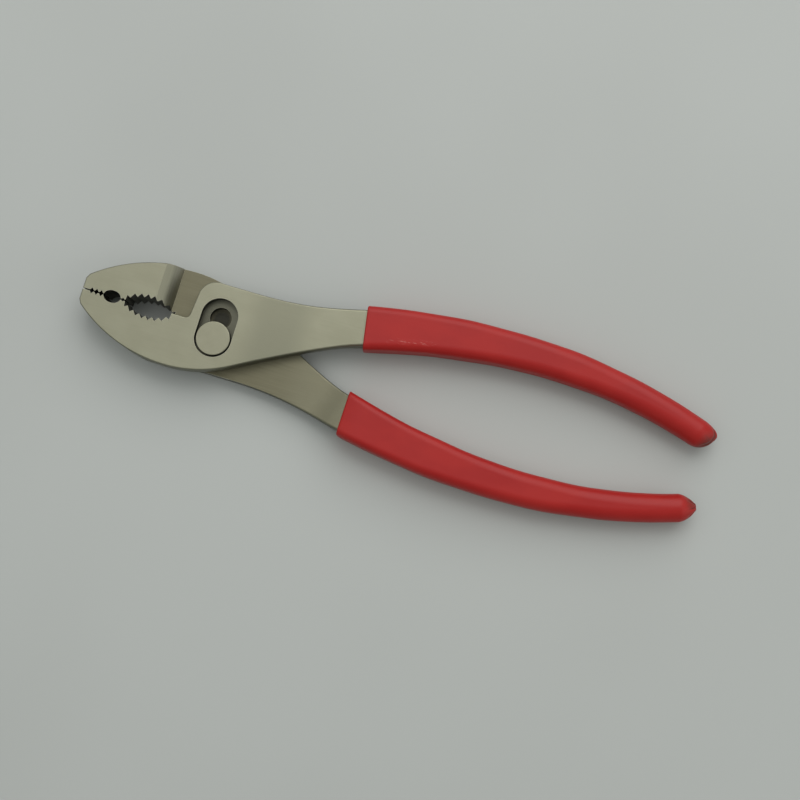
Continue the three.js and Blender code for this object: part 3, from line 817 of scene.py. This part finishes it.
@dataclass
class PivotNut(Piece):
    """Hexagon nut with its corners chamfered on both faces."""

    across_flats: float = 8.0
    thickness: float = 2.5
    bore_radius: float = 2.6
    bore_chamfer: float = 0.3
    chamfer_angle: float = 30.0
    chamfer_start: float = 0.97
    chamfer_band: float = 0.5
    band_rows: int = 8
    columns: int = 144
    shade_angle: float = 20.0

    def build(self) -> None:
        """Carry the nut's outline round its axis.

        The outer radius is the lesser of the hexagon's, flat / cos(angle to the nearest flat's
        middle), and of a cone that opens from the face at the chamfer angle.
        """
        angle = np.linspace(0.0, 2.0 * math.pi, self.columns, endpoint=False)
        flat = self.across_flats / 2
        hexagon = flat / np.cos(np.mod(angle, math.pi / 3) - math.pi / 6)
        band = np.linspace(0.0, self.chamfer_band, self.band_rows)
        depth = np.concatenate([band, [self.thickness / 2], self.thickness - band[::-1]])
        from_face = np.minimum(depth, self.thickness - depth)
        cone = self.chamfer_start * flat + from_face / math.tan(math.radians(self.chamfer_angle))
        wall = np.minimum(hexagon[None, :], cone[:, None])
        mouth = self.bore_radius + self.bore_chamfer
        bore = np.array([(mouth, self.thickness), (self.bore_radius, self.thickness - self.bore_chamfer),
                         (self.bore_radius, self.bore_chamfer), (mouth, 0.0)])
        inner = np.broadcast_to(bore[:, :1], (len(bore), self.columns))
        radius = np.concatenate([wall, inner])
        z = np.broadcast_to(np.concatenate([depth, bore[:, 1]])[:, None], radius.shape)
        rings = np.stack([radius * np.cos(angle), radius * np.sin(angle), z], axis=-1)
        self.model = grid_piece("pivot_nut_turned", rings)
        shade_by_angle(self.model, self.shade_angle)
        self.settle(Slot.TURNED)


@dataclass(frozen=True)
class Tip:
    """End of a sleeve: how it draws in, its folds, its soil and painted shade, and the snipped drip that
    is left on it.
    """

    length: float
    power: float
    height_power: float
    drip_half_width: float
    drip_length: float
    # Painted shade on the tip's inner side, in the soil colour.
    soil_and_shade: float
    lead: float = 0.0
    lean: float = 0.0
    groove_depth: float = 0.0
    folds: int = 0
    fold_depth: float = 0.0
    # Painted shade in the creases, in the soil colour.
    crease_shade: float = 0.0


@dataclass(frozen=True)
class Scuff:
    """A stretch of faint rub marks along a sleeve's shoulder."""

    start: float
    end: float
    turn: float
    half_turn: float
    fade: float = 4.0


@dataclass(frozen=True)
class SectionGrid:
    """Where the points of a rounded rectangle lie round its edge.

    A point is seat times (half size - corner radius) + turn times the corner radius, so one
    grid serves every size and radius.
    """

    arc_steps: int = 12
    wide_steps: int = 16
    tall_steps: int = 8

    def layout(self) -> tuple[np.ndarray, np.ndarray]:
        """List the seats and the turns, anticlockwise from the outward side.

        Returns:
            Seats and turns, each as columns by 2.
        """
        corners = np.array([(1.0, 1.0), (-1.0, 1.0), (-1.0, -1.0), (1.0, -1.0)])
        seats, turns = [], []
        for index, seat in enumerate(corners):
            angle = (index + np.linspace(0.0, 1.0, self.arc_steps)) * math.pi / 2
            arc = np.column_stack([np.cos(angle), np.sin(angle)])
            flat_steps = self.tall_steps if index % 2 else self.wide_steps
            share = np.linspace(0.0, 1.0, flat_steps + 2)[1:-1, None]
            following = corners[(index + 1) % len(corners)]
            seats += [np.tile(seat, (self.arc_steps, 1)), seat + (following - seat) * share]
            turns += [arc, np.tile(arc[-1], (flat_steps, 1))]
        return np.concatenate(seats), np.concatenate(turns)


@dataclass
class Sleeve(Piece):
    """A dipped sleeve, as a skin that runs in along the tang, round the cuff and out to the tip.

    Each stretch of rows is given as reach, half sizes, corner radii and shifts outwards.
    """

    side: Side
    tip: Tip
    cuff_setback: float
    cuff_lean: float
    scuff: Scuff | None = None
    grid: SectionGrid = SectionGrid()
    cuff_reach: float = 43.75
    front_length: float = 55.0
    rear_length: float = 50.0
    cuff_offset: float = 13.4
    front_rise: float = 7.0
    rear_drop: float = 7.6
    tang_cuff_width: float = 11.3
    tang_end_width: float = 6.1
    taper_power: float = 1.3
    tang_thickness: float = 8.2
    tang_end_thickness: float = 6.8
    lap_gap: float = 0.25
    set_lead: float = 10.2
    set_length: float = 18.2
    clearance: float = 0.2
    wall: float = 1.1
    end_wall: float = 2.4
    cuff_round: float = 0.4
    lean_fade: float = 25.0
    bore_radius: float = 0.8
    cuff_corner_radius: float = 2.2
    corner_radius: float = 4.25
    tip_corner: float = 0.98
    drip_power: float = 0.5
    groove_height: float = 0.36
    groove_spread: float = 0.13
    groove_span: Span = (0.35, 0.75)
    fold_turn: float = 1.4
    fold_span: Span = (0.3, 0.75)
    fold_limit: float = 0.5
    crease_power: int = 10
    # Where along the tip the painted shade in the creases and on the inner side rises.
    crease_span: Span = (0.3, 0.8)
    soil_and_shade_span: Span = (0.1, 0.7)
    ripple: float = 0.05
    ripple_lengths: Span = (5.3, 2.9)
    short_ripple: float = 0.7
    ripple_phase: float = 1.0
    ripple_fade: float = 12.0
    bore_steps: int = 60
    lip_steps: int = 11
    skin_steps: int = 170
    tip_steps: int = 60
    drip_steps: int = 16

    @property
    def cuff_start(self) -> float:
        """Reach at which the cuff's lip starts."""
        return self.cuff_reach + self.cuff_setback

    @property
    def bow_reach(self) -> float:
        """Reach at which the handles are widest apart."""
        return self.cuff_reach + self.front_length

    @property
    def tang_end(self) -> float:
        """Reach at which the tang ends inside the sleeve."""
        return self.bow_reach + self.rear_length

    @property
    def tip_start(self) -> float:
        """Reach at which the skin starts to draw in."""
        return self.tang_end + self.clearance + self.end_wall - self.tip.lead

    def path(self, reach: np.ndarray) -> tuple[np.ndarray, np.ndarray]:
        """Follow the handle's middle along two arcs that meet at the bow.

        Each arc's radius is (length squared + rise squared) / (2 rise).

        Args:
            reach: Distances from the pivot along X.

        Returns:
            Points of the plan and unit vectors outwards, each as rows by 2.
        """
        run = reach - self.bow_reach
        front = (self.front_length**2 + self.front_rise**2) / (2.0 * self.front_rise)
        rear = (self.rear_length**2 + self.rear_drop**2) / (2.0 * self.rear_drop)
        radius = np.where(run < 0.0, front, rear)
        rise = np.sqrt(radius**2 - run**2)
        middle = np.stack([reach, self.cuff_offset + self.front_rise - radius + rise], axis=-1)
        outward = np.stack([run, rise], axis=-1) / radius[:, None]
        return middle, outward

    def tang(self, reach: np.ndarray) -> tuple[np.ndarray, np.ndarray]:
        """Measure the tang that the sleeve is dipped on.

        Args:
            reach: Distances from the pivot along X.

        Returns:
            Its half width and half height as rows by 2, and its middle's height over the mid plane.
        """
        share = np.clip((reach - self.cuff_reach) / (self.tang_end - self.cuff_reach), 0.0, 1.0)
        taper = (1.0 - share) ** self.taper_power
        half_width = (self.tang_end_width + (self.tang_cuff_width - self.tang_end_width) * taper) / 2
        top = (self.tang_thickness + (self.tang_end_thickness - self.tang_thickness) * share) / 2
        set_start = self.cuff_reach - self.set_lead
        settled = ease(reach, set_start, set_start + self.set_length)
        bottom = self.lap_gap / 2 - (self.lap_gap / 2 + top) * settled
        return np.stack([half_width, (top - bottom) / 2], axis=-1), (top + bottom) / 2

    def sweep(self, reach: np.ndarray, half: np.ndarray, radius: np.ndarray,
              shift: np.ndarray) -> np.ndarray:
        """Carry a rounded rectangle along the handle's path.

        Near the cuff each section leans, so that its outer side lies further along the handle.

        Args:
            reach: Reach of each row.
            half: Half width and half height of each row, as rows by 2.
            radius: Corner radius of each row.
            shift: How far each row is moved outwards.

        Returns:
            Points in the tool's frame, as rows by columns by 3.
        """
        middle, outward = self.path(reach)
        forward = np.stack([outward[:, 1], -outward[:, 0]], axis=-1)
        _, level = self.tang(reach)
        seats, turns = self.grid.layout()
        section = seats * (half - radius[:, None])[:, None, :] + turns * radius[:, None, None]
        across = section[..., 0] + shift[:, None]
        height = section[..., 1] + level[:, None]
        fade = 1.0 - ease(reach, self.cuff_start, self.cuff_start + self.lean_fade)
        along = across * (math.tan(math.radians(self.cuff_lean)) * fade)[:, None]
        plan = (middle[:, None, :] + outward[:, None, :] * across[..., None]
                + forward[:, None, :] * along[..., None])
        y = CENTRE_LINE + self.side.value * plan[..., 1]
        z = MID_PLANE + self.side.value * height
        return np.stack([plan[..., 0], y, z], axis=-1)

    def inner_rows(self) -> tuple[np.ndarray, ...]:
        """List the rows of the bore, from past the tang's end, and of the cuff's lip.

        The lip is a half circle from the bore to the skin.

        Returns:
            The rows.
        """
        bore_end, lip_end = self.tang_end + self.clearance, self.cuff_start + self.cuff_round
        bore = np.linspace(bore_end, lip_end, self.bore_steps)
        turn = np.linspace(0.0, math.pi, self.lip_steps)[1:-1]
        reach = np.concatenate([bore, self.cuff_start + self.cuff_round * (1.0 - np.sin(turn))])
        share = np.concatenate([np.zeros_like(bore), 0.5 - 0.5 * np.cos(turn)])
        half, _ = self.tang(reach)
        half = half + (self.clearance + self.wall * share)[:, None]
        radius = self.bore_radius + (self.cuff_corner_radius - self.bore_radius) * share
        return reach, half, radius, np.zeros_like(reach)

    def skin_rows(self) -> tuple[np.ndarray, ...]:
        """List the rows of the skin, from the cuff to where the tip starts, with a faint ripple.

        The ripple is a long sine of the reach plus a share of a short one, faded out at both ends.

        Returns:
            The rows.
        """
        start = self.cuff_start + self.cuff_round
        reach = np.linspace(start, self.tip_start, self.skin_steps)
        half, _ = self.tang(reach)
        long, short = self.ripple_lengths
        wave = np.sin(reach / long) + self.short_ripple * np.sin(reach / short + self.ripple_phase)
        fade_in = ease(reach, start, start + self.ripple_fade)
        fade_out = 1.0 - ease(reach, self.tang_end - self.ripple_fade, self.tang_end)
        swell = self.ripple * wave * fade_in * fade_out
        half = half + (self.clearance + self.wall + swell)[:, None]
        share = (reach - start) / (self.tip_start - start)
        radius = self.cuff_corner_radius + (self.corner_radius - self.cuff_corner_radius) * share
        return reach, half, radius, np.zeros_like(reach)

    def tip_rows(self, last: np.ndarray) -> tuple[np.ndarray, ...]:
        """List the rows of the tip: a bullet that draws in to the drip, then the drip itself.

        The bullet's share of the last section is (1 - t to the p) to the 1 / p, with a power for
        its width and one for its height, and the drip is close to a half ellipse. The lean holds
        back the inward step of the outer edge, so that one tip runs on straight and another
        closes evenly.

        Args:
            last: Half sizes of the skin's last row.

        Returns:
            The rows.
        """
        tip = self.tip
        drip_share = tip.drip_half_width / last[0]
        end = (1.0 - drip_share**tip.power) ** (1.0 / tip.power)
        run = end * np.sin(np.linspace(0.0, math.pi / 2, self.tip_steps + 1)[1:])
        powers = np.array([tip.power, tip.height_power])
        bullet = (1.0 - run[:, None] ** powers) ** (1.0 / powers)
        turn = np.linspace(0.0, math.pi / 2, self.drip_steps)[1:-1]
        drip = bullet[-1] * np.cos(turn)[:, None] ** self.drip_power
        reach = np.concatenate([run * tip.length, end * tip.length + tip.drip_length * np.sin(turn)])
        shares = np.concatenate([bullet, drip])
        half = last[None, :] * shares
        radius = np.minimum(self.corner_radius, half.min(axis=1) * self.tip_corner)
        shift = tip.lean * last[0] * (1.0 - np.maximum(shares[:, 0], drip_share))
        return self.tip_start + reach, half, radius, shift

    def build(self) -> None:
        """Sweep the three stretches as one closed skin, fold the tip and mark its scuffs, soil and
        painted shade.
        """
        inner, skin = self.inner_rows(), self.skin_rows()
        tip = self.tip_rows(skin[1][-1])
        parts = [np.concatenate(values) for values in zip(inner, skin, tip)]
        rings = self.sweep(*parts)
        first = len(parts[0]) - len(tip[0])
        along = (tip[0] - tip[0][0]) / (tip[0][-1] - tip[0][0])
        groove = self.groove(rings[first:], along, skin[1][-1, 1])
        rings = np.concatenate([rings[:first], self.folded(rings[first:], along, groove)])
        poles = np.stack([rings[0].mean(axis=0), rings[-1].mean(axis=0)])
        self.model = grid_piece(f"{self.side.name.lower()}_sleeve", rings, poles)
        # Soil and painted shade on the tip.
        soil_and_shade = self.soil_and_shade_marks(len(parts[0]), along, groove)
        on_poles = np.zeros(len(poles))
        for name, amount in (("scuff", self.scuff_marks(parts[0])), ("soil_and_shade", soil_and_shade)):
            write_marks(self.model.data, name, "POINT", np.append(amount, on_poles))
        self.model.data.shade_smooth()
        self.settle(Slot.VINYL)

    def around(self) -> np.ndarray:
        """Give each column's turn about the section, in radians from the outward side."""
        seats, turns = self.grid.layout()
        return np.arctan2(seats[:, 1] + turns[:, 1], seats[:, 0] + turns[:, 0])

    def creases(self) -> np.ndarray:
        """Draw narrow creases round the tip: a high power of a cosine of the way each column faces.

        Returns:
            Shares of the fold's depth, one for each column.
        """
        _, turns = self.grid.layout()
        facing = self.side.value * np.arctan2(turns[:, 1], turns[:, 0])
        return np.abs(np.cos(self.tip.folds * facing / 2 + self.fold_turn)) ** self.crease_power

    def groove(self, tip: np.ndarray, along: np.ndarray, half_height: float) -> np.ndarray:
        """Draw the groove round the tip's dome: a bell curve of the height, faded in along the tip.

        Args:
            tip: Rings of the tip.
            along: How far along the tip each ring is, from 0 to 1.
            half_height: Half height of the section that the tip starts from.

        Returns:
            Shares of the groove's depth, as rows by columns.
        """
        height = (tip[..., 2] - MID_PLANE) / half_height
        bell = np.exp(-(((height - self.groove_height) / self.groove_spread) ** 2))
        return bell * ease(along, *self.groove_span)[:, None]

    def folded(self, tip: np.ndarray, along: np.ndarray, groove: np.ndarray) -> np.ndarray:
        """Press the groove into the tip and pinch it into narrow folds towards the drip.

        Each point moves towards its ring's middle, by the groove's depth times its share and by
        the fold depth times the crease at its column, times a share that rises along the tip.

        Args:
            tip: Rings of the tip.
            along: How far along the tip each ring is, from 0 to 1.
            groove: Shares of the groove's depth.

        Returns:
            The folded rings.
        """
        folds = self.tip.fold_depth * ease(along, *self.fold_span)[:, None] * self.creases()
        depth = folds + self.tip.groove_depth * groove
        inward = tip.mean(axis=1, keepdims=True) - tip
        size = np.linalg.norm(inward, axis=-1, keepdims=True)
        share = np.minimum(depth[..., None] / size, self.fold_limit)
        return tip + inward * share

    def scuff_marks(self, reach: np.ndarray) -> np.ndarray:
        """Say how scuffed each point is: a soft patch in reach and in turn.

        Args:
            reach: Reach of every row.

        Returns:
            Amounts from 0 to 1, as rows by columns.
        """
        around, spot = self.around(), self.scuff
        if spot is None:
            return np.zeros((len(reach), len(around)))
        fade_in = ease(reach, spot.start, spot.start + spot.fade)
        fade_out = 1.0 - ease(reach, spot.end - spot.fade, spot.end)
        off = np.abs(around - math.radians(spot.turn))
        near = 1.0 - ease(off, 0.0, math.radians(spot.half_turn))
        return (fade_in * fade_out)[:, None] * near

    def soil_and_shade_marks(self, rows: int, along: np.ndarray, groove: np.ndarray) -> np.ndarray:
        """Say how much soil and painted shade each point gets: on the tip's inner side, in its creases
        and in its groove.

        Args:
            rows: Rows of the whole sleeve.
            along: How far along the tip each of its rings is, from 0 to 1.
            groove: Shares of the groove's depth over the tip.

        Returns:
            Amounts from 0 to 1, as rows by columns.
        """
        inner = 0.5 - 0.5 * np.cos(self.around())
        # Painted shade on the tip's inner side, in its creases and in its groove.
        shaded = self.tip.soil_and_shade * ease(along, *self.soil_and_shade_span)[:, None] * inner
        creased = self.tip.crease_shade * ease(along, *self.crease_span)[:, None] * self.creases()
        grooved = groove if self.tip.groove_depth else np.zeros_like(groove)
        amount = np.zeros((rows, groove.shape[1]))
        amount[-len(groove):] = np.maximum.reduce([grooved, shaded, creased])
        return amount


@dataclass(frozen=True)
class SoftLamp:
    """A wide square lamp, placed by its heading in the picture and its height over the sheet."""

    name: str
    heading: float
    elevation: float
    distance: float
    size: float
    power: float

    def hang(self, to_tool: Matrix) -> None:
        """Hang the lamp so that it faces the tool.

        Args:
            to_tool: Turn from the picture's directions, X right and Y up, to the tool's frame.
        """
        heading, rise = math.radians(self.heading), math.radians(self.elevation)
        level = math.cos(rise)
        in_picture = Vector((math.cos(heading) * level, math.sin(heading) * level, math.sin(rise)))
        direction = to_tool @ in_picture
        light = bpy.data.lights.new(self.name, "AREA")
        light.energy = self.power
        light.size = self.size * MM
        lamp = add_object(self.name, light)
        lamp.location = direction * self.distance * MM
        lamp.rotation_euler = (-direction).to_track_quat("-Z", "Y").to_euler()
        log.info("lamp %s hung", self.name)


@dataclass
class Studio:
    """The pale sheet, the soft light and the camera at the photograph's viewing angle."""

    image_size: int = 800
    focal_pixels: float = 1226.8
    sensor: float = 36.0
    distance: float = 385.1
    nearest: float = 10.0
    tilt: float = 6.63
    tool_turn: float = 16.75
    tool_place: Span = (-57.44, 17.83)
    sheet_size: float = 4000.0
    sheet_drop: float = 0.05
    world_colour: Colour = (0.35, 0.369, 0.36)
    lamps: tuple[SoftLamp, ...] = (
        SoftLamp("window", heading=64.0, elevation=46.0, distance=1400.0, size=1400.0, power=12.7),
        SoftLamp("ceiling", heading=150.0, elevation=68.0, distance=1500.0, size=1700.0, power=6.5),
        SoftLamp("side_wall", heading=-17.0, elevation=28.0, distance=1500.0, size=1100.0, power=3.2),
    )

    def to_tool(self) -> Matrix:
        """Give the matrix from the picture's ground, with Y up the picture, to the tool's frame."""
        turn = Matrix.Rotation(math.radians(self.tool_turn), 4, "Z")
        return turn @ Matrix.Translation((-self.tool_place[0] * MM, -self.tool_place[1] * MM, 0.0))

    def lay_sheet(self, finish: bpy.types.Material) -> None:
        """Lay the pale sheet under the tool.

        Args:
            finish: Material of the sheet.
        """
        half = self.sheet_size / 2
        corners = np.array([[-half, -half], [half, -half], [half, half], [-half, half]])
        points = np.column_stack([corners, np.full(4, -self.sheet_drop)]) * MM
        mesh = bpy.data.meshes.new("pale_sheet")
        mesh.from_pydata(points.tolist(), [], [(0, 1, 2, 3)])
        mesh.materials.append(finish)
        sheet = add_object("pale_sheet", mesh)
        log.info("pale sheet laid")

    def hang_lamps(self) -> None:
        """Light the scene with an even world, a window, a pale ceiling and a pale wall on the right."""
        world = bpy.data.worlds.new("soft_room")
        bpy.context.scene.world = world
        world.use_nodes = True
        background = world.node_tree.nodes["Background"]
        background.inputs["Color"].default_value = (*self.world_colour, 1.0)
        background.inputs["Strength"].default_value = 1.0
        for lamp in self.lamps:
            lamp.hang(self.to_tool().to_3x3())

    def place_camera(self) -> None:
        """Set the camera over the tool, tilted a little up the picture."""
        data = bpy.data.cameras.new("camera")
        data.sensor_width = self.sensor
        data.lens = self.focal_pixels * self.sensor / self.image_size
        data.clip_start = self.nearest * MM
        camera = add_object("camera", data)
        tilt = Matrix.Rotation(math.radians(self.tilt), 4, "X")
        back = Matrix.Translation((0.0, 0.0, self.distance * MM))
        camera.matrix_world = self.to_tool() @ tilt @ back
        bpy.context.scene.camera = camera
        log.info("camera placed")

    def build(self) -> None:
        """Set up the stage."""
        self.lay_sheet(PaleSheet().material())
        self.hang_lamps()
        self.place_camera()
        bpy.context.scene.view_settings.view_transform = "Standard"


def main() -> None:
    """Build the stage and every sub-assembly, and report each piece."""
    logging.basicConfig(level=logging.INFO, format="%(name)s: %(message)s")
    Studio().build()
    ground = GroundTitanium().material()
    turned = TurnedTitanium().material()
    vinyl = DippedVinyl().material()
    # The tips' soil amounts paint shade on their inner side, and their crease amounts paint shade in the
    # creases.
    upper_tip = Tip(length=5.6, power=2.2, height_power=1.6, drip_half_width=0.9, drip_length=0.15,
                    soil_and_shade=0.95, lead=0.6, lean=0.5, groove_depth=0.6)
    lower_tip = Tip(length=5.4, power=1.5, height_power=1.5, drip_half_width=1.3, drip_length=0.4,
                    soil_and_shade=0.75, folds=7, fold_depth=0.7, crease_shade=1.0)
    scuffs = Scuff(start=50.0, end=67.0, turn=116.0, half_turn=7.0)
    pieces = [
        # The rear lever's sides get more painted shade than the front lever's.
        Lever("front_lever", Body.FRONT, ground, Side.UPPER, side_shade=0.2),
        Lever("rear_lever", Body.REAR, ground, Side.LOWER, side_shade=0.5),
        PivotBolt("pivot_bolt", Body.PIVOT, turned),
        PivotNut("pivot_nut", Body.PIVOT, turned),
        Sleeve("upper_grip", Body.FRONT, vinyl, Side.UPPER, upper_tip, cuff_setback=0.0,
               cuff_lean=5.0, scuff=scuffs),
        Sleeve("lower_grip", Body.REAR, vinyl, Side.LOWER, lower_tip, cuff_setback=1.0,
               cuff_lean=13.0),
    ]
    for piece in pieces:
        piece.build()
        piece.dress()


if __name__ == "__main__":
    main()
